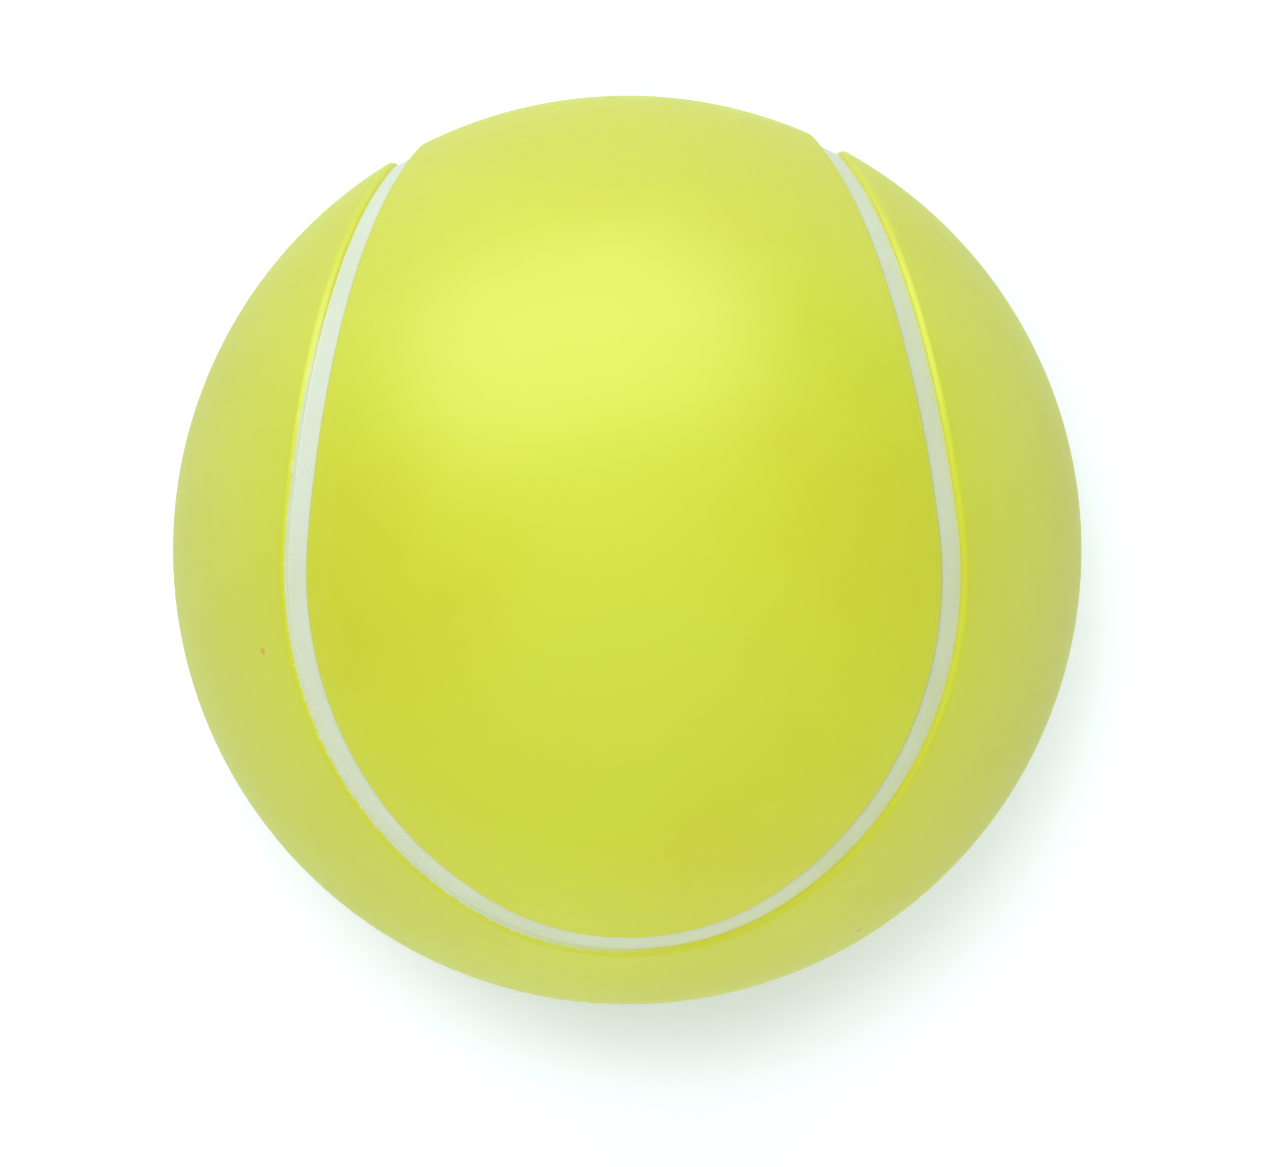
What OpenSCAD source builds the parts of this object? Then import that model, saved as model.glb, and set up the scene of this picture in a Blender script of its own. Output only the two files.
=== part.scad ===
// Tennis ball: a hollow rubber core in two halves, a cement coat, two interlocking
// dog-bone cover panels and the seam line between them. Millimetres, origin at the ball's centre.
// The lobe of panel A looks along +Z and its neck lies at +Y; the lobes of panel B look along X.

/* [Ball] */
// Diameter over the cover
ball_d = 67; // [60:0.5:73]
// Thickness of the two cover panels
cover_t = 3.2; // [2.4:0.1:4]
// Thickness of the cement coat between the core and the cover
cement_t = 0.2; // [0.1:0.05:0.4]
// Wall thickness of the hollow rubber core
core_wall = 3.3; // [2.5:0.1:4.5]
// Thickness of the bond between the rims of the core halves
bond_t = 0.2; // [0.1:0.05:0.4]

/* [Seam channel] */
// Width of the seam line between the walls of the two panels
seam_w = 2.1; // [1.5:0.1:3]
// Depth of the seam line below the surface of the cover
seam_depth = 0.5; // [0.3:0.05:0.9]
// Radius of the rounded shoulder along the edge of each panel
shoulder_r = 0.5; // [0.2:0.05:0.8]

/* [Course of the seam] */
// Angle between the middle of a lobe and the middle of its round end, in degrees
lobe_tilt_angle = 28.6; // [28:0.1:30]
// Angle that the round end of a lobe spans from its own middle, in degrees
lobe_end_angle = 33.9; // [33:0.1:35]
// Angle that the long side of a lobe spans from its own middle, in degrees
lobe_side_angle = 59; // [58:0.1:61]

/* [Hidden] */
$fn = 96;

ball_r = ball_d / 2;
cement_r = ball_r - cover_t;
core_r = cement_r - cement_t;
hollow_r = core_r - core_wall;
seam_r = ball_r - seam_depth;
overrun = cover_t / 2;

// How far neighbouring sweeps lap, and how far their outlines stand apart there
hair_share = 0.005;
hair = hair_share * seam_w;
lap_angle = atan(hair / ball_r);
// Height of the shoulder's arc, which meets the surface at a faint edge
shoulder_rise_share = 0.96;
shoulder_rise = shoulder_rise_share * shoulder_r;

// Straight steps along each arc of the surface that parts the two panels inside the channel,
// and the angle by which the base of that surface leans past the middle
parting_steps = 5;
lip_angle = 5;

// Directions, as unit vectors. The seam turns from one lobe to the next at a crossing.
crossing = [sqrt(1 / 2), 0, sqrt(1 / 2)];
end_pole = [0, -sin(lobe_tilt_angle), cos(lobe_tilt_angle)];
side_pole = pole_at(crossing, end_pole, lobe_side_angle, lobe_side_angle - lobe_end_angle);
joint = (sin(lobe_side_angle) * end_pole - sin(lobe_end_angle) * side_pole)
      / sin(lobe_side_angle - lobe_end_angle);

// How far the seam's two sweeps turn from the joint, with a little to cut off
spare_turn = 2;
end_turn = -spare_turn - turn_about(end_pole, [0, -1, 0], joint);
side_turn = spare_turn + turn_about(side_pole, joint, crossing);

function unit(v) = v / norm(v);
// The turn about pole that brings direction a over direction b
function turn_about(pole, a, b) =
    let (x_dir = unit(a - (a * pole) * pole), y_dir = cross(pole, x_dir))
    atan2(b * y_dir, b * x_dir);
function flipped(v) = [-v.x, v.y, v.z];

// The unit vector at angle_a from direction a and angle_b from direction b, on their upper side
function pole_at(a, b, angle_a, angle_b) =
    let (g = a * b,
         share_b = (cos(angle_b) - g * cos(angle_a)) / (1 - g * g),
         share_a = cos(angle_a) - share_b * g,
         flat = share_a * a + share_b * b)
    flat + sqrt(1 - flat * flat) * unit(cross(b, a));

// Turns its children so that their Z lies along pole and their X points towards side
module facing(pole, side) {
    x_dir = unit(side - (side * pole) * pole);
    y_dir = cross(pole, x_dir);
    multmatrix([[x_dir.x, y_dir.x, pole.x, 0],
                [x_dir.y, y_dir.y, pole.y, 0],
                [x_dir.z, y_dir.z, pole.z, 0],
                [0, 0, 0, 1]])
        children();
}

// Sweeps a cross-section, drawn with Y pointing out of the ball, round an axis in the XZ plane
// that leans by angle from Z. It starts lap_angle before that plane, and slack slims it.
module swept(angle, turn, slack) {
    $slack = slack;
    rotate([0, -angle, 0])
        rotate(-sign(turn) * lap_angle)
            rotate_extrude(angle = turn)
                rotate(-angle)
                    children();
}

// A quarter of a lobe's seam, from the middle of its round end to the crossing. The two sweeps
// start back to back at the joint and run on through the planes that cut them off.
module lobe_quarter(side_slack) {
    reach = 2 * ball_r;
    intersection() {
        facing(joint, -side_pole) {
            swept(lobe_end_angle, end_turn, 0)
                children();
            swept(lobe_side_angle, side_turn, side_slack)
                children();
        }
        translate([0, hair - reach, 0])
            cube(reach);
    }
}

// The two lobes of panel A
module lobes_a() {
    children();
    rotate([0, 180, 0])
        children();
}

// The two lobes of panel B: those of panel A, turned half round about a crossing
module lobes_b() {
    rotate(180, crossing)
        lobes_a()
            children();
}

module lobe_seam(side_slack) {
    lobe_quarter(side_slack)
        children();
    mirror([1, 0, 0])
        lobe_quarter(side_slack)
            children();
}

// A cross-section swept along the whole seam
module along_seam() {
    lobes_a()
        lobe_seam(hair)
            children();
    lobes_b()
        lobe_seam(2 * hair)
            children();
}

// The channel's cross-section: straight walls, with a rounded shoulder on top of each
module channel_section() {
    wall_x = seam_w / 2 - $slack;
    shoulder_x = wall_x + hair + shoulder_r;
    foot = shoulder_rise - cover_t - overrun + $slack;
    top = shoulder_rise + overrun - $slack;
    translate([0, ball_r - shoulder_rise])
        difference() {
            polygon([[-wall_x, foot], [wall_x, foot], [wall_x, 0], [shoulder_x, 0],
                     [shoulder_x, top], [-shoulder_x, top], [-shoulder_x, 0], [-wall_x, 0]]);
            for (side = [-1, 1])
                translate([side * shoulder_x, 0])
                    circle(shoulder_r);
        }
}

// The seam line's cross-section, before the channel's floor and the cement bound it
module seam_section() {
    wall_x = seam_w / 2 - $slack;
    foot = cement_r - overrun + $slack;
    translate([-wall_x, foot])
        square([2 * wall_x, ball_r + overrun - foot - $slack]);
}

// A hollow sphere, turned so that the line where its surface closes runs clear of the seam
module shell(outer_r, inner_r) {
    rotate([0, 0, 90])
        difference() {
            sphere(outer_r);
            sphere(inner_r);
        }
}

// Direction v, turned about pole
function turned(v, pole, turn) =
    v * cos(turn) + cross(pole, v) * sin(turn) + (pole * v) * (1 - cos(turn)) * pole;

// Points far out over the middle of the seam, from a lobe's round end to the crossing
function quarter_points() =
    let (end_point = [0, -sin(lobe_tilt_angle + lobe_end_angle), cos(lobe_tilt_angle + lobe_end_angle)],
         end_span = turn_about(end_pole, end_point, joint),
         side_span = turn_about(side_pole, joint, crossing))
    2 * ball_r * concat(
        [for (k = [0 : parting_steps]) turned(end_point, end_pole, end_span * k / parting_steps)],
        [for (k = [1 : parting_steps]) turned(joint, side_pole, side_span * k / parting_steps)]);

// The space that one lobe parts off, a many-sided pyramid from the ball's centre. Its sides run
// inside the channel, so none of them shows on a panel, and its base laps the other half.
module lobe_space() {
    right = quarter_points();
    lip = 2 * ball_r * [0, sin(lip_angle), cos(lip_angle)];
    rim = concat(right, [lip], [for (k = [len(right) - 1 : -1 : 1]) flipped(right[k])]);
    count = len(rim);
    polyhedron(concat(rim, [[0, 0, 0], [0, 0, 2 * ball_r]]),
               concat([for (k = [0 : count - 1]) [count, k, (k + 1) % count]],
                      [for (k = [0 : count - 1]) [count + 1, (k + 1) % count, k]]));
}

module half_space() {
    reach = 2 * ball_r;
    translate([-reach, -2 * reach, -reach])
        cube(2 * reach);
}

// Everything on panel B's side of the seam
module side_b() {
    lobes_b()
        lobe_space();
    difference() {
        half_space();
        lobes_a()
            lobe_space();
    }
}

// The part of a hollow ball that stays on one panel's side of the seam, with the channel cut
module channelled() {
    difference() {
        children(0);
        along_seam()
            channel_section();
        children(1);
    }
}

module core_half() {
    reach = 2 * ball_r;
    difference() {
        shell(core_r, hollow_r);
        translate([-reach, -reach, bond_t / 2 - 2 * reach])
            cube(2 * reach);
    }
}

module core_half_upper() {
    color("dimgray")
        core_half();
}

module core_half_lower() {
    color("gray")
        rotate([180, 0, 0])
            core_half();
}

module core_bond() {
    color("tan")
        intersection() {
            shell(core_r, hollow_r);
            cube([ball_d, ball_d, bond_t], center = true);
        }
}

module cover_cement() {
    color("wheat")
        shell(cement_r, core_r);
}

module cover_panel_a() {
    color("yellowgreen")
        channelled() {
            rotate(180, crossing)
                shell(ball_r, cement_r);
            side_b();
        }
}

module cover_panel_b() {
    color("greenyellow")
        channelled() {
            shell(ball_r, cement_r);
            rotate(180, crossing)
                side_b();
        }
}

module seam_line() {
    color("white")
        intersection() {
            shell(seam_r, cement_r);
            along_seam()
                seam_section();
        }
}

core_half_upper();
core_half_lower();
core_bond();
cover_cement();
cover_panel_a();
cover_panel_b();
seam_line();
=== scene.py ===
import math

import bpy
import numpy as np
from mathutils import Matrix, Vector


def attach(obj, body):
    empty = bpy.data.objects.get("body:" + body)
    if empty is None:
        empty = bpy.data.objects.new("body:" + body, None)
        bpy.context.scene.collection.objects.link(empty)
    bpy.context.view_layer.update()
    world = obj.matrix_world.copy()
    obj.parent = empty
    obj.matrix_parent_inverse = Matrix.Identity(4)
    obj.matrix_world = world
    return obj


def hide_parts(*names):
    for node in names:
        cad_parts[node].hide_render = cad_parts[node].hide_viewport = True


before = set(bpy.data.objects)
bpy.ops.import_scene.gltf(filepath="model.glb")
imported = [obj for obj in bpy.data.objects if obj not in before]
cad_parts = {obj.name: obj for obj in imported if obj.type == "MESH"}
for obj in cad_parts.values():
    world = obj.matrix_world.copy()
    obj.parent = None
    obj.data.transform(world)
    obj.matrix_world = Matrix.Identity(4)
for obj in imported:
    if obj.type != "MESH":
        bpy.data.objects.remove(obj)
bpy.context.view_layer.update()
print("frame loaded with", len(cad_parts), "nodes")

# sizes in metres and angles in degrees, the same as in the part's source
ball = {
    "radius": 0.0335,
    "coverThickness": 0.0032,
    "seamWidth": 0.0021,
    "seamDepth": 0.0005,
    "shoulderRadius": 0.0005,
    "lobeTilt": 28.6,
    "endAngle": 33.9,
    "sideAngle": 59.0,
}
perMetre = 1000  # millimetres, in which the seam's distance is kept
halfSeam = ball["seamWidth"] / 2


def turnAbout(pole, a, b):  # signed turn about pole that brings a over b
    ahead = (a - a.dot(pole) * pole).normalized()
    return math.atan2(b.dot(pole.cross(ahead)), b.dot(ahead))


def poleAt(a, b, angleA, angleB):  # unit vector at angleA from a and angleB from b
    g = a.dot(b)
    shareB = (math.cos(angleB) - g * math.cos(angleA)) / (1 - g * g)
    shareA = math.cos(angleA) - shareB * g
    flat = shareA * a + shareB * b
    return flat + math.sqrt(1 - flat.dot(flat)) * b.cross(a).normalized()


def acrossSeam(v):  # half turn about a crossing, which brings a lobe of panel A to one of panel B
    return Vector((v.z, -v.y, v.x))


def arcAcross(arc):
    return {**arc, "pole": acrossSeam(arc["pole"]), "start": acrossSeam(arc["start"])}


# a quarter of a lobe's seam: one arc round the lobe's end, then one along its side to the crossing
tilt, endAngle, sideAngle = (math.radians(ball[k]) for k in ("lobeTilt", "endAngle", "sideAngle"))
crossing = Vector((math.sqrt(0.5), 0, math.sqrt(0.5)))
endPole = Vector((0, -math.sin(tilt), math.cos(tilt)))
sidePole = poleAt(crossing, endPole, sideAngle, sideAngle - endAngle)
joint = (math.sin(sideAngle) * endPole - math.sin(endAngle) * sidePole) / math.sin(sideAngle - endAngle)
endPoint = Vector((0, -math.sin(tilt + endAngle), math.cos(tilt + endAngle)))
endArc = {"pole": endPole, "start": endPoint, "turn": turnAbout(endPole, endPoint, joint), "angle": endAngle}
sideArc = {"pole": sidePole, "start": joint, "turn": turnAbout(sidePole, joint, crossing), "angle": sideAngle}
turns = tuple(math.degrees(arc["turn"]) for arc in (endArc, sideArc))
print("seam laid out, turns of %.2f and %.2f degrees" % turns)


# in metres, how near two points or a point and a cut count as one
joins = {
    "startSize": 0.001,  # of the triangle that an outline starts from
    "outlineGap": 2e-7,
    "cutGap": 1e-8,
    "mirrorGap": 1e-6,
    "pieceGap": 2e-6,
    "leastEdge": 1e-7,
}


def pickOnly(piece):
    bpy.ops.object.select_all(action="DESELECT")
    piece.select_set(True)
    bpy.context.view_layer.objects.active = piece


def pickAll():
    bpy.ops.mesh.select_all(action="SELECT")


def mergeNear(gap):
    pickAll()
    bpy.ops.mesh.remove_doubles(threshold=gap)


def drawOutline(name, points, closed):  # a triangle merged at the first point, then extruded on
    bpy.ops.object.select_all(action="DESELECT")
    bpy.ops.mesh.primitive_circle_add(vertices=3, radius=joins["startSize"], location=(0, 0, 0))
    outline = bpy.context.object
    outline.name = outline.data.name = name
    for v in outline.data.vertices:
        v.co = points[0]
    bpy.ops.object.mode_set(mode="EDIT")
    pickAll()
    bpy.ops.mesh.merge(type="CENTER")
    pickAll()
    ends = points[1:] + points[:1] if closed else points[1:]
    for a, b in zip(points, ends):
        bpy.ops.mesh.extrude_region_move(TRANSFORM_OT_translate={"value": b - a})
    mergeNear(joins["outlineGap"])
    return outline


def sweepSection(name, section, arc, side=1, closed=False):  # spins a section along an arc of the seam
    outline = drawOutline(name, ribPoints(section, arc["start"], arc["pole"], side), closed)
    length = abs(arc["turn"]) * math.sin(arc["angle"]) * ball["radius"]
    steps = max(panel["leastSteps"], round(length / panel["stepAlong"]))
    pickAll()
    # spin turns the other way, so the angle is negative
    bpy.ops.mesh.spin(steps=steps, angle=-arc["turn"], center=(0, 0, 0), axis=arc["pole"])
    mergeNear(joins["outlineGap"])
    bpy.ops.object.mode_set(mode="OBJECT")
    return outline


def trimAtMiddle(piece):  # keeps what lies on the +X side of the plane between the two halves
    pickOnly(piece)
    bpy.ops.object.mode_set(mode="EDIT")
    pickAll()
    bpy.ops.mesh.bisect(plane_co=(0, 0, 0), plane_no=(1, 0, 0), clear_inner=True, threshold=joins["cutGap"])
    bpy.ops.object.mode_set(mode="OBJECT")
    return piece


def joinPieces(name, pieces):
    pickOnly(pieces[0])
    for piece in pieces:
        piece.select_set(True)
    bpy.ops.object.join()
    whole = bpy.context.object
    whole.name = whole.data.name = name
    return whole


def mirrorPiece(piece):  # across the two planes in which the seam is symmetric
    bpy.context.view_layer.objects.active = piece
    mirror = piece.modifiers.new("mirror", "MIRROR")
    mirror.use_axis = (True, False, True)
    mirror.merge_threshold = joins["mirrorGap"]
    bpy.ops.object.modifier_apply(modifier=mirror.name)


def closeUp(piece, sharpAngle):  # merges the joins, turns the faces outwards and smooths them
    pickOnly(piece)
    bpy.ops.object.mode_set(mode="EDIT")
    mergeNear(joins["pieceGap"])
    bpy.ops.mesh.dissolve_degenerate(threshold=joins["leastEdge"])
    pickAll()
    bpy.ops.mesh.normals_make_consistent(inside=False)
    bpy.ops.object.mode_set(mode="OBJECT")
    bpy.ops.object.shade_smooth_by_angle(angle=math.radians(sharpAngle))


def turnedCopy(piece, name):  # turned half round about a crossing
    copy = piece.copy()
    copy.data = piece.data.copy()
    copy.name = copy.data.name = name
    bpy.context.collection.objects.link(copy)
    copy.data.transform(Matrix.Rotation(math.pi, 4, crossing))
    return copy


# in radians
seamField = {
    "farAngle": 9.0,  # for directions that lie beside no arc
    "turnSlack": 0.01,  # how far an arc still counts past its ends
}


def awayFromArc(directions, arc):  # angle between each direction and the arc
    pole, start = arc["pole"], arc["start"]
    ahead = (start - start.dot(pole) * pole).normalized()
    turns = np.arctan2(directions @ np.array(pole.cross(ahead)), directions @ np.array(ahead))
    low, high = sorted((0.0, arc["turn"]))
    beside = (turns > low - seamField["turnSlack"]) & (turns < high + seamField["turnSlack"])
    away = np.abs(np.arccos(np.clip(directions @ np.array(pole), -1, 1)) - arc["angle"])
    return np.where(beside, away, seamField["farAngle"])


def measureSeam(piece):  # keeps how far each vertex lies from the middle of the seam, in millimetres
    places = np.empty(len(piece.data.vertices) * 3, np.float32)
    piece.data.vertices.foreach_get("co", places)
    places = places.reshape(-1, 3).astype(float)
    places /= np.linalg.norm(places, axis=1)[:, None]
    x, y, z = np.abs(places[:, 0]), places[:, 1], np.abs(places[:, 2])
    folded = (np.stack([x, y, z], 1), np.stack([z, -y, x], 1))
    away = [awayFromArc(directions, arc) for directions in folded for arc in (endArc, sideArc)]
    distance = np.min(away, axis=0) * ball["radius"] * perMetre
    layer = piece.data.attributes.new("seamDistance", "FLOAT", "POINT")
    layer.data.foreach_set("value", distance.astype(np.float32))


panel = {
    "stepAlong": 0.0004,  # length of a face along the seam
    "leastSteps": 4,
    "firstSteps": (0.00014, 0.00018, 0.00024, 0.00032, 0.00042, 0.00055),  # faces beside the shoulder
    "stepAcross": 0.0007,
    "shoulderSteps": 9,
    "wallSplit": 0.6,  # share of the cover's thickness at which the wall has a point
    "reachAngle": 58.0,
    "innerSteps": 11,
    "sharpAngle": 38.0,
}
reachAngle = math.radians(panel["reachAngle"])


def evenSteps(first, last, count):  # leaves out the first
    return [first + (last - first) * k / count for k in range(1, count + 1)]


def stepsAcross(first, last):  # even steps over the surface, given as angles
    return evenSteps(first, last, round((last - first) * ball["radius"] / panel["stepAcross"]))


def ribAngles(whole):  # angles from the seam's middle, up to the lobe's middle or, if whole, past it
    angles = [math.asin((halfSeam + ball["shoulderRadius"]) / (ball["radius"] - ball["shoulderRadius"]))]
    for step in panel["firstSteps"]:
        angles.append(angles[-1] + step / ball["radius"])
    angles += stepsAcross(angles[-1], endAngle)
    return angles + stepsAcross(endAngle, reachAngle) if whole else angles


def ribSection(whole):  # the panel's section across the seam as pairs: sideways and out of the ball
    radius, inner, shoulder = ball["radius"], ball["radius"] - ball["coverThickness"], ball["shoulderRadius"]
    outer = ribAngles(whole)
    section = [(radius * math.sin(a), radius * math.cos(a)) for a in reversed(outer)]
    heightAt = math.sqrt((radius - shoulder) ** 2 - (halfSeam + shoulder) ** 2)
    lean = outer[0]
    for k in range(1, panel["shoulderSteps"] + 1):
        a = lean - (lean + math.pi / 2) * k / panel["shoulderSteps"]
        section.append((halfSeam + shoulder + shoulder * math.sin(a), heightAt + shoulder * math.cos(a)))
    section.append((halfSeam, radius - panel["wallSplit"] * ball["coverThickness"]))
    foot = math.asin(halfSeam / inner)
    section.append((halfSeam, inner * math.cos(foot)))
    under = evenSteps(foot, endAngle, panel["innerSteps"])
    if whole:
        under += evenSteps(endAngle, reachAngle, panel["innerSteps"])
    return section + [(inner * math.sin(a), inner * math.cos(a)) for a in under]


def ribPoints(section, start, pole, side):  # the section stood on the seam at start, towards its pole or away
    towards = (pole - pole.dot(start) * start).normalized() * side
    return [u * towards + v * start for u, v in section]


def makePanel(name):
    lobeEnd = sweepSection("lobeEnd", ribSection(False), endArc)
    others = [
        sweepSection("lobeSide", ribSection(True), sideArc),
        sweepSection("neckSide", ribSection(True), arcAcross(sideArc), side=-1),
        sweepSection("neckEnd", ribSection(True), arcAcross(endArc), side=-1),
    ]
    whole = joinPieces(name, [lobeEnd] + [trimAtMiddle(piece) for piece in others])
    mirrorPiece(whole)
    closeUp(whole, panel["sharpAngle"])
    measureSeam(whole)
    return whole


panelA = makePanel("cover_panel_front")
panelB = turnedCopy(panelA, "cover_panel_side")
print("panels made with", len(panelA.data.polygons), "faces each")


seamLine = {
    "stepsAcross": 14,
    "clearance": 0.000004,  # between the line's edge and the walls
    "edgeRise": 0.00005,  # how far the paint climbs the walls
    "edgeWidth": 0.00022,
    "sharpAngle": 50.0,
}


def lineSection():
    half = halfSeam - seamLine["clearance"]
    floor, inner = ball["radius"] - ball["seamDepth"], ball["radius"] - ball["coverThickness"]
    points = []
    for k in range(seamLine["stepsAcross"] + 1):
        u = -half * math.cos(math.pi * k / seamLine["stepsAcross"])
        rise = seamLine["edgeRise"] * max(0.0, 1 - (half - abs(u)) / seamLine["edgeWidth"]) ** 2
        points.append((u, math.sqrt(floor * floor - u * u) + rise))
    foot = math.sqrt(inner * inner - half * half)
    return points + [(half, foot), (-half, foot)]


def makeLine(name):
    end = sweepSection("lineEnd", lineSection(), endArc, closed=True)
    side = sweepSection("lineSide", lineSection(), sideArc, closed=True)
    lobes = joinPieces(name, [end, side])
    mirrorPiece(lobes)
    ring = joinPieces(name, [lobes, turnedCopy(lobes, "otherLobes")])
    closeUp(ring, seamLine["sharpAngle"])
    measureSeam(ring)
    return ring


lineRing = makeLine("seam_line_ring")
print("line made with", len(lineRing.data.polygons), "faces")


class Value:  # a socket that takes part in sums
    def __init__(self, finish, socket):
        self.finish, self.socket = finish, socket

    def maths(self, operation, a, b):
        return self.finish.node("ShaderNodeMath", {"operation": operation}, {0: a, 1: b})

    def __add__(self, other):
        return self.maths("ADD", self, other)

    def __radd__(self, other):
        return self.maths("ADD", other, self)

    def __sub__(self, other):
        return self.maths("SUBTRACT", self, other)

    def __rsub__(self, other):
        return self.maths("SUBTRACT", other, self)

    def __mul__(self, other):
        return self.maths("MULTIPLY", self, other)

    def __rmul__(self, other):
        return self.maths("MULTIPLY", other, self)


class Finish:  # a material and the making of its nodes
    def __init__(self, name, **fixed):
        self.material = bpy.data.materials.new(name)
        self.material.use_nodes = True
        self.nodes, self.links = self.material.node_tree.nodes, self.material.node_tree.links
        self.nodes.clear()
        self.shader = self.nodes.new("ShaderNodeBsdfPrincipled")
        for socket, value in fixed.items():
            self.shader.inputs[socket.replace("_", " ")].default_value = value
        self.output = self.nodes.new("ShaderNodeOutputMaterial")
        self.links.new(self.shader.outputs[0], self.output.inputs[0])

    def node(self, kind, settings, inputs, out=0):
        made = self.nodes.new(kind)
        for name, value in settings.items():
            setattr(made, name, value)
        for name, value in inputs.items():
            if isinstance(value, Value):
                self.links.new(value.socket, made.inputs[name])
            else:
                made.inputs[name].default_value = value
        return Value(self, made.outputs[out])

    def feed(self, socket, value):
        self.links.new(value.socket, self.shader.inputs[socket])

    def objectPlace(self):
        return self.node("ShaderNodeTexCoord", {}, {}, "Object")

    def along(self, place, axis):
        return self.node("ShaderNodeSeparateXYZ", {}, {0: place}, axis)

    def seamDistance(self):  # in millimetres from the seam's middle
        return self.node("ShaderNodeAttribute", {"attribute_name": "seamDistance"}, {}, "Fac")

    def noise(self, place, size, detail=2.0, roughness=0.5):  # size of a grain in metres
        inputs = {"Vector": place, "Scale": 1 / size, "Detail": detail, "Roughness": roughness}
        return self.node("ShaderNodeTexNoise", {}, inputs, "Fac")

    def step(self, value, low, high):  # 0 below low, 1 above high, smooth between
        inputs = {"Value": value, "From Min": low, "From Max": high, "To Min": 0.0, "To Max": 1.0}
        return self.node("ShaderNodeMapRange", {"interpolation_type": "SMOOTHSTEP"}, inputs)

    def blend(self, factor, a, b):
        inputs = {"Factor": factor, 6: a, 7: b}
        return self.node("ShaderNodeMix", {"data_type": "RGBA"}, inputs, 2)

    def bump(self, height, depth, normal=None):  # depth of the relief in metres
        inputs = {"Height": height, "Distance": depth, "Strength": 1.0}
        if normal is not None:
            inputs["Normal"] = normal
        return self.node("ShaderNodeBump", {}, inputs)

    def near(self, place, point, radius, core):  # 1 within a share of the radius of a point, fading to 0
        away = self.node("ShaderNodeVectorMath", {"operation": "DISTANCE"}, {0: place, 1: point}, "Value")
        return 1 - self.step(away, core * radius, radius)


def tint(red, green, blue):  # a screen colour, 0 to 255, as the linear colour of a socket
    shares = [c / 255 for c in (red, green, blue)]
    return tuple(c / 12.92 if c <= 0.04045 else ((c + 0.055) / 1.055) ** 2.4 for c in shares) + (1.0,)


# how the ball lies under the camera, found by laying the seam over the photograph
view = {
    "turnDegrees": (-2.954, -0.641, 1.424),
    "distanceInRadii": 28.9,
    "imageWidth": 1280,
    "imageHeight": 1167,
    "ballCentre": (627.2, 550.0),
    "ballRadius": 454.4,
    "sensorWidth": 36,
    "clip": (0.1, 50),
}
turn = Vector([math.radians(a) for a in view["turnDegrees"]])
toCamera = Matrix.Rotation(turn.length, 3, turn.normalized())
fromCamera = toCamera.transposed()


def onBall(x, y):  # the place on the ball under a pixel of the photograph
    u = (x - view["ballCentre"][0]) / view["ballRadius"]
    v = (view["ballCentre"][1] - y) / view["ballRadius"]
    return fromCamera @ Vector((u, v, math.sqrt(max(0.0, 1 - u * u - v * v)))) * ball["radius"]


linePaint = {
    "main": (224, 234, 222),
    "stainAndShade": (210, 221, 184),
    # the line's edge colour: its rim, partly a ragged paint edge and partly painted corner shade, and its
    # pores
    "edge": (210, 214, 134),
    "wall": (206, 216, 196),
    "roughness": 0.5,
    "roughnessSpread": 0.2,
    "ior": 1.45,
    "stippleSize": 0.00022,
    "stippleDepth": 0.00003,
    "poreLevel": (0.34, 0.5),
    "poreShare": 0.22,
    "cloudSize": 0.006,
    "cloudLevel": (0.35, 0.7),
    "cloudWear": 0.25,
    "rightFrom": (-0.004, 0.02),  # metres along the ball's X, over which painted shade darkens the line and strengthens its rim
    "rightShade": 0.45,
    "lowTo": (-0.026, 0.01),  # metres along the ball's Y, over which painted shade darkens the line towards the bottom
    "lowShade": 0.35,
    "raggedSize": 0.0006,
    "rimRagged": 0.3,
    "rimFrom": (0.8, 1.04),  # millimetres from the seam's middle
    "rimShare": 0.2,
    "rimShadeRight": 0.6,
}

cover = {
    "main": (208, 219, 48),
    "warm": (206, 213, 42),
    "cloudSize": 0.022,
    "cloudLevel": (0.35, 0.68),
    "raggedSize": 0.0007,
    "fineSize": 0.00022,
    "edge": (198, 190, 78),  # painted shade: a warm, darker line in the channel's corner
    "cornerShadeShare": 0.28,
    "edgeRagged": 0.4,
    "edgeReach": (-0.02, 0.16),  # millimetres past the channel's wall, as the other reaches are
    "edgeDepth": 0.00003,
    "roughness": 0.37,
    "rimRoughness": 0.14,
    "rimFacing": (0.2, 0.75),
    "smudgeSize": 0.009,
    "smudgeSpread": 0.08,
    "fineSpread": 0.05,
    "ior": 1.5,
    "gloss": 0.6,
    "skinGrain": 0.0005,
    "skinDepth": 0.0000012,
    "waveSize": 0.006,
    "waveDepth": 0.000012,
    "markShare": 0.6,
    "markCore": 0.55,
    "marks": (  # pixel, radius in metres, colour
        ((270, 650), 0.00034, (206, 148, 40)),
        ((610, 100), 0.0003, (150, 150, 70)),
        ((857, 928), 0.00028, (150, 140, 60)),
        ((405, 940), 0.00024, (150, 145, 60)),
        ((886, 237), 0.0002, (160, 150, 60)),
        ((838, 152), 0.0002, (170, 165, 90)),
    ),
}

# the line's paint that got onto panel B, left of the middle and below the top
overspray = {
    "colour": (224, 224, 176),
    "left": (-0.012, 0.004),
    "below": (0.009, 0.019),
    "fine": 1.6,
    "ragged": 1.4,
    "fade": 1.5,
    "start": 0.16,
    "softness": 0.2,
    "share": 0.75,
    "wallRagged": 0.14,
    "wallReach": (0.06, 0.16),
}

# the dark specks along panel A's edge
specks = {
    "colour": (120, 104, 60),
    "spacing": 0.0011,
    "size": (0.1, 0.22),
    "reach": (0.12, 0.4),
    "share": 0.7,
}


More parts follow.
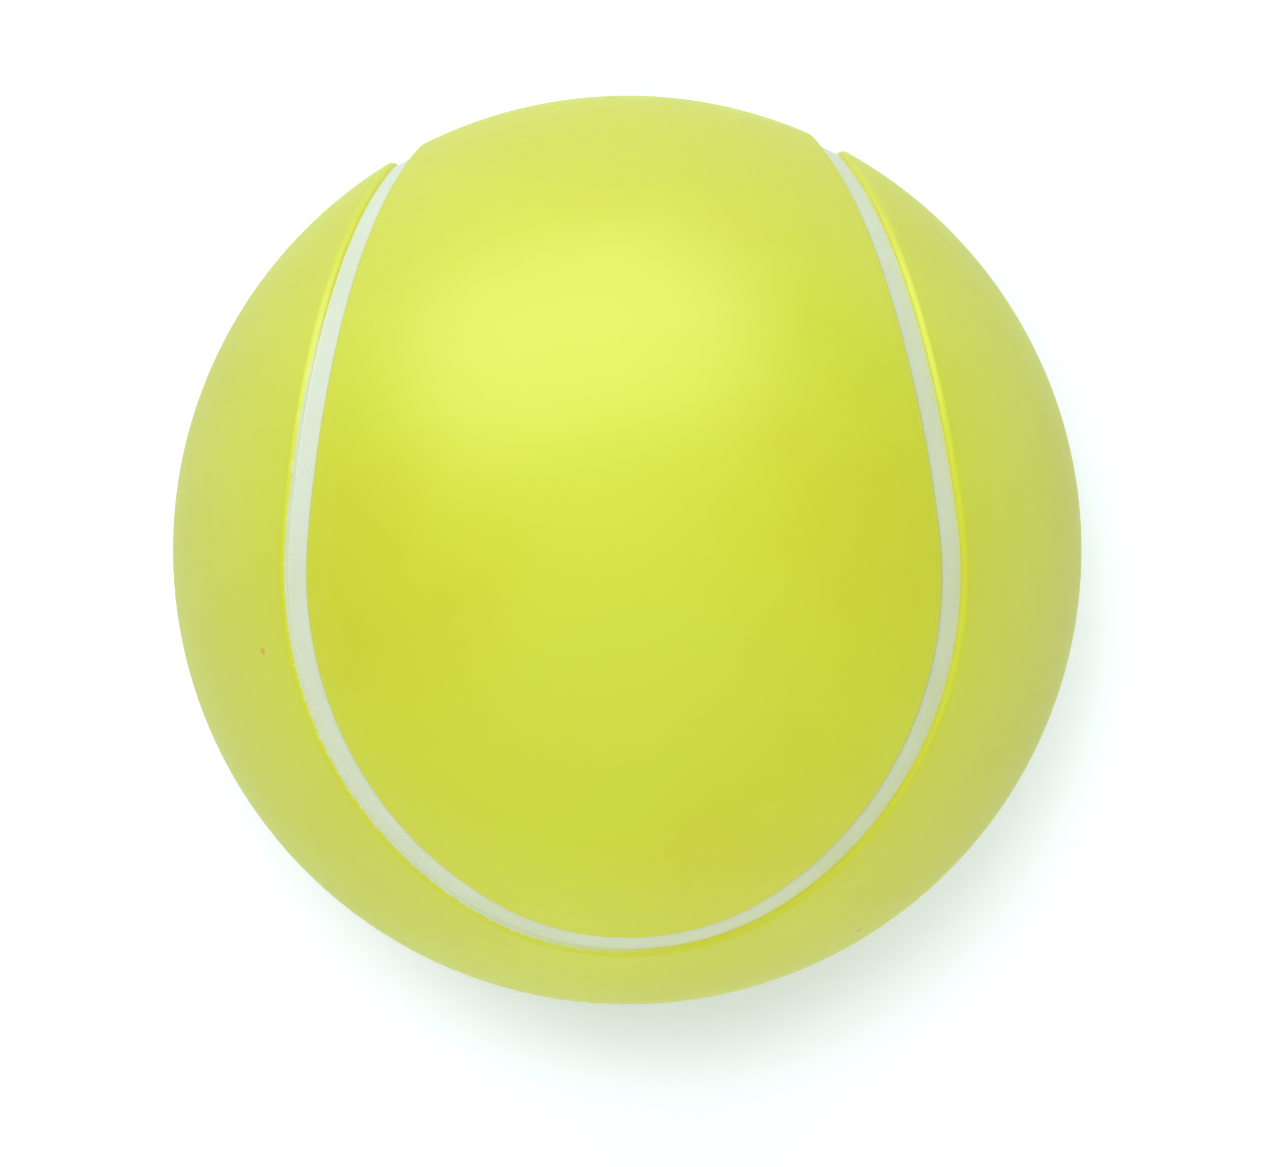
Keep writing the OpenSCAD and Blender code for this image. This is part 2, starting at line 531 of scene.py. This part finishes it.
def makeCoverFinish(name, sprayed):
    skin = Finish(name, IOR=cover["ior"], Specular_IOR_Level=cover["gloss"])
    place, distance = skin.objectPlace(), skin.seamDistance()
    wall = halfSeam * perMetre
    clouds = skin.step(skin.noise(place, cover["cloudSize"], 3), *cover["cloudLevel"])
    colour = skin.blend(clouds, tint(*cover["main"]), tint(*cover["warm"]))
    ragged = skin.noise(place, cover["raggedSize"], 4, 0.65)
    fine = skin.noise(place, cover["fineSize"], 2, 0.6)

    def within(away, reach):  # 1 beside the wall, fading to 0 over the reach
        return 1 - skin.step(away, wall + reach[0], wall + reach[1])

    # painted shade: a warm line along the channel's corner beside the wall, which also carries a ragged bump
    cornerShade = within(distance + (ragged - 0.5) * cover["edgeRagged"], cover["edgeReach"])
    colour = skin.blend(cornerShade * cover["cornerShadeShare"], colour, tint(*cover["edge"]))
    if sprayed:
        x, y = skin.along(place, "X"), skin.along(place, "Y")
        lowerLeft = (1 - skin.step(x, *overspray["left"])) * (1 - skin.step(y, *overspray["below"]))
        drops = (fine - 0.5) * overspray["fine"] + (ragged - 0.5) * overspray["ragged"]
        drops = drops - (distance - wall) * overspray["fade"] + overspray["start"]
        spray = skin.step(drops, 0.0, overspray["softness"])
        colour = skin.blend(lowerLeft * spray * overspray["share"], colour, tint(*overspray["colour"]))
        painted = within(distance + (fine - 0.5) * overspray["wallRagged"], overspray["wallReach"])
        colour = skin.blend(lowerLeft * painted, colour, tint(*linePaint["wall"]))
    else:
        grid = {"Vector": place, "Scale": 1 / specks["spacing"]}
        dots = skin.node("ShaderNodeTexVoronoi", {}, grid, "Distance")
        dark = (1 - skin.step(dots, *specks["size"])) * within(distance, specks["reach"]) * specks["share"]
        colour = skin.blend(dark, colour, tint(*specks["colour"]))
    for pixel, radius, shade in cover["marks"]:
        mark = skin.near(place, onBall(*pixel), radius, cover["markCore"]) * cover["markShare"]
        colour = skin.blend(mark, colour, tint(*shade))
    skin.feed("Base Color", colour)
    smudge = skin.noise(place, cover["smudgeSize"], 3)
    facing = skin.node("ShaderNodeLayerWeight", {}, {"Blend": 0.5}, "Facing")
    slant = skin.step(facing, *cover["rimFacing"]) * cover["rimRoughness"]
    uneven = cover["roughness"] + slant + (smudge - 0.5) * cover["smudgeSpread"]
    skin.feed("Roughness", uneven + (fine - 0.5) * cover["fineSpread"])
    rough = skin.bump(skin.noise(place, cover["skinGrain"], 3, 0.55), cover["skinDepth"])
    rough = skin.bump(skin.noise(place, cover["waveSize"], 2), cover["waveDepth"], rough)
    skin.feed("Normal", skin.bump(ragged * cornerShade, cover["edgeDepth"], rough))
    return skin.material


def makeLineFinish():
    paint = Finish("linePaint", IOR=linePaint["ior"])
    place, distance = paint.objectPlace(), paint.seamDistance()
    stipple = paint.noise(place, linePaint["stippleSize"], 3, 0.7)
    clouds = paint.step(paint.noise(place, linePaint["cloudSize"], 3), *linePaint["cloudLevel"])
    right = paint.step(paint.along(place, "X"), *linePaint["rightFrom"])
    low = 1 - paint.step(paint.along(place, "Y"), *linePaint["lowTo"])
    # random stains in clouds, with painted shade added towards the right and the bottom
    wornAndShaded = clouds * linePaint["cloudWear"] + right * linePaint["rightShade"] + low * linePaint["lowShade"]
    colour = paint.blend(wornAndShaded, tint(*linePaint["main"]), tint(*linePaint["stainAndShade"]))
    ragged = (paint.noise(place, linePaint["raggedSize"], 4, 0.65) - 0.5) * linePaint["rimRagged"]
    # the rim beside the walls: a ragged paint edge all round, with painted shade of the channel's corner,
    # much stronger on the right arm
    rim = paint.step(distance + ragged, *linePaint["rimFrom"])
    colour = paint.blend(rim * (linePaint["rimShare"] + right * linePaint["rimShadeRight"]), colour,
                         tint(*linePaint["edge"]))
    pores = 1 - paint.step(stipple, *linePaint["poreLevel"])
    colour = paint.blend(pores * linePaint["poreShare"], colour, tint(*linePaint["edge"]))
    paint.feed("Base Color", colour)
    paint.feed("Roughness", linePaint["roughness"] + (stipple - 0.5) * linePaint["roughnessSpread"])
    paint.feed("Normal", paint.bump(stipple, linePaint["stippleDepth"]))
    return paint.material


rubber = {
    "grainSize": 0.0012,
    "grainDepth": 0.00002,
    "grainShade": 0.7,  # how dark the grain is beside the main colour
    "roughnessSpread": 0.15,
}

# the pieces under the cover, which keep their solids
insides = {
    "coreRubber": {
        "nodes": ("core_half_upper", "core_half_lower"), "colour": (72, 70, 72), "roughness": 0.75,
    },
    "bondRubber": {"nodes": ("core_bond",), "colour": (150, 130, 96), "roughness": 0.7},
    "cementCoat": {"nodes": ("cover_cement",), "colour": (214, 200, 164), "roughness": 0.6},
}


def makeRubberFinish(name, colour, roughness):
    skin = Finish(name)
    grain = skin.noise(skin.objectPlace(), rubber["grainSize"], 4, 0.6)
    darker = tuple(rubber["grainShade"] * c for c in colour)
    skin.feed("Base Color", skin.blend(grain, tint(*colour), tint(*darker)))
    skin.feed("Roughness", roughness + (grain - 0.5) * rubber["roughnessSpread"])
    skin.feed("Normal", skin.bump(grain, rubber["grainDepth"]))
    return skin.material


def giveFinish(piece, material):
    piece.data.materials.clear()
    piece.data.materials.append(material)


giveFinish(panelA, makeCoverFinish("coverFront", False))
giveFinish(panelB, makeCoverFinish("coverSide", True))
giveFinish(lineRing, makeLineFinish())
for name, inside in insides.items():
    material = makeRubberFinish(name, inside["colour"], inside["roughness"])
    for node in inside["nodes"]:
        giveFinish(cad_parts[node], material)
newPieces = (
    (panelA, "cover_panel_a", "cover"),
    (panelB, "cover_panel_b", "cover"),
    (lineRing, "seam_line", "seam"),
)
for piece, node, slot in newPieces:
    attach(piece, "root")
    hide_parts(node)
print("finishes made:", len(bpy.data.materials), "materials")


stageSet = {
    "floorSize": 12.0,
    "floorColour": (0.8, 0.8, 0.8, 1.0),
    "floorSeen": (1.1, 1.17, 1.38, 1.0),  # to the camera and in gloss: white where lit, its shadow stays
    "whiteFrom": (0.2, 0.5),  # metres from the ball, over which the floor turns plain white
    "white": (1.0, 1.0, 1.0, 1.0),
    "whiteStrength": 1.0,
    "worldColour": (0.96, 1.0, 0.92, 1.0),
    "worldLight": 0.36,
}


def makeFloor():
    bpy.ops.object.select_all(action="DESELECT")
    bpy.ops.mesh.primitive_plane_add(size=stageSet["floorSize"], location=(0, 0, 0))
    floor = bpy.context.object
    floor.name = "studioFloor"
    floor.location.z = -ball["radius"]
    paper = Finish("floorPaper")
    kinds = ("Is Camera Ray", "Is Glossy Ray", "Is Transmission Ray")
    camera, glossy, through = (paper.node("ShaderNodeLightPath", {}, {}, kind) for kind in kinds)
    seen = camera + glossy + through
    colour = paper.blend(seen, stageSet["floorColour"], stageSet["floorSeen"])
    matte = paper.node("ShaderNodeBsdfDiffuse", {}, {"Color": colour})
    plain = {"Color": stageSet["white"], "Strength": stageSet["whiteStrength"]}
    white = paper.node("ShaderNodeEmission", {}, plain)
    away = paper.node("ShaderNodeVectorMath", {"operation": "LENGTH"}, {0: paper.objectPlace()}, "Value")
    far = paper.step(away, *stageSet["whiteFrom"]) * seen
    whole = paper.node("ShaderNodeMixShader", {}, {0: far, 1: matte, 2: white})
    paper.links.new(whole.socket, paper.output.inputs[0])
    paper.nodes.remove(paper.shader)
    giveFinish(floor, paper.material)


def makeWorld():  # lights the ball softly, and is plain white to the camera
    world = bpy.data.worlds.new("studioWorld")
    bpy.context.scene.world = world
    world.use_nodes = True
    nodes, links = world.node_tree.nodes, world.node_tree.links
    nodes.clear()
    output, mix = nodes.new("ShaderNodeOutputWorld"), nodes.new("ShaderNodeMixShader")
    light, backdrop = nodes.new("ShaderNodeBackground"), nodes.new("ShaderNodeBackground")
    light.inputs["Color"].default_value = stageSet["worldColour"]
    light.inputs["Strength"].default_value = stageSet["worldLight"]
    backdrop.inputs["Color"].default_value = stageSet["white"]
    backdrop.inputs["Strength"].default_value = stageSet["whiteStrength"]
    path = nodes.new("ShaderNodeLightPath")
    links.new(path.outputs["Is Camera Ray"], mix.inputs[0])
    links.new(light.outputs[0], mix.inputs[1])
    links.new(backdrop.outputs[0], mix.inputs[2])
    links.new(mix.outputs[0], output.inputs[0])


# azimuth from the picture's right and elevation, in degrees, then distance, width and height in metres
lamps = {
    "keyBox": {
        "azimuth": 96, "elevation": 34, "distance": 0.8, "width": 1.4, "height": 0.85,
        "watts": 3.9, "colour": (0.99, 1.0, 1.0), "gloss": True, "diffuse": True,
    },
    "shineBox": {  # adds to the highlight alone
        "azimuth": 104, "elevation": 34, "distance": 0.79, "width": 1.25, "height": 0.95,
        "watts": 5.6, "colour": (1.0, 1.0, 1.0), "gloss": True, "diffuse": False,
    },
    "fillBox": {
        "azimuth": 270, "elevation": 40, "distance": 0.8, "width": 1.3, "height": 0.9,
        "watts": 3.1, "colour": (1.0, 0.97, 0.88), "gloss": False, "diffuse": True,
    },
    "overBox": {
        "azimuth": 0, "elevation": 89.9, "distance": 0.8, "width": 0.6, "height": 0.6,
        "watts": 0.7, "colour": (1.0, 1.0, 1.0), "gloss": False, "diffuse": True,
    },
    "shadowBox": {  # keeps the floor's shadow tight
        "azimuth": 130, "elevation": 84, "distance": 1.3, "width": 0.3, "height": 0.3,
        "watts": 4.2, "colour": (1.0, 1.0, 1.0), "gloss": False, "diffuse": True,
    },
}


def makeLamp(name, box):
    lamp = bpy.data.lights.new(name, "AREA")
    lamp.shape, lamp.size, lamp.size_y = "RECTANGLE", box["width"], box["height"]
    lamp.energy, lamp.color = box["watts"], box["colour"]
    holder = bpy.data.objects.new(name, lamp)
    bpy.context.collection.objects.link(holder)
    a, e = math.radians(box["azimuth"]), math.radians(box["elevation"])
    towards = Vector((math.cos(a) * math.cos(e), math.sin(a) * math.cos(e), math.sin(e)))
    holder.location = towards * box["distance"]
    holder.rotation_euler = towards.to_track_quat("Z", "Y").to_euler()
    holder.visible_camera = False
    holder.visible_glossy, holder.visible_diffuse = box["gloss"], box["diffuse"]


def makeCamera():
    camera = bpy.data.cameras.new("camera")
    holder = bpy.data.objects.new("camera", camera)
    bpy.context.collection.objects.link(holder)
    distance = view["distanceInRadii"] * ball["radius"]
    focal = view["ballRadius"] * math.sqrt(view["distanceInRadii"] ** 2 - 1)  # in pixels
    camera.sensor_width = view["sensorWidth"]
    camera.lens = focal / view["imageWidth"] * camera.sensor_width
    camera.clip_start, camera.clip_end = view["clip"]
    metresPerPixel = distance / focal
    aside = (view["imageWidth"] / 2 - view["ballCentre"][0]) * metresPerPixel
    down = (view["imageHeight"] / 2 - view["ballCentre"][1]) * metresPerPixel
    place = fromCamera @ Vector((aside, -down, distance))
    holder.matrix_world = Matrix.Translation(place) @ fromCamera.to_4x4()
    bpy.context.scene.camera = holder


makeFloor()
makeWorld()
for name, box in lamps.items():
    makeLamp(name, box)
makeCamera()
bpy.context.scene.view_settings.view_transform = "Standard"
print("stage, lamps and camera set")
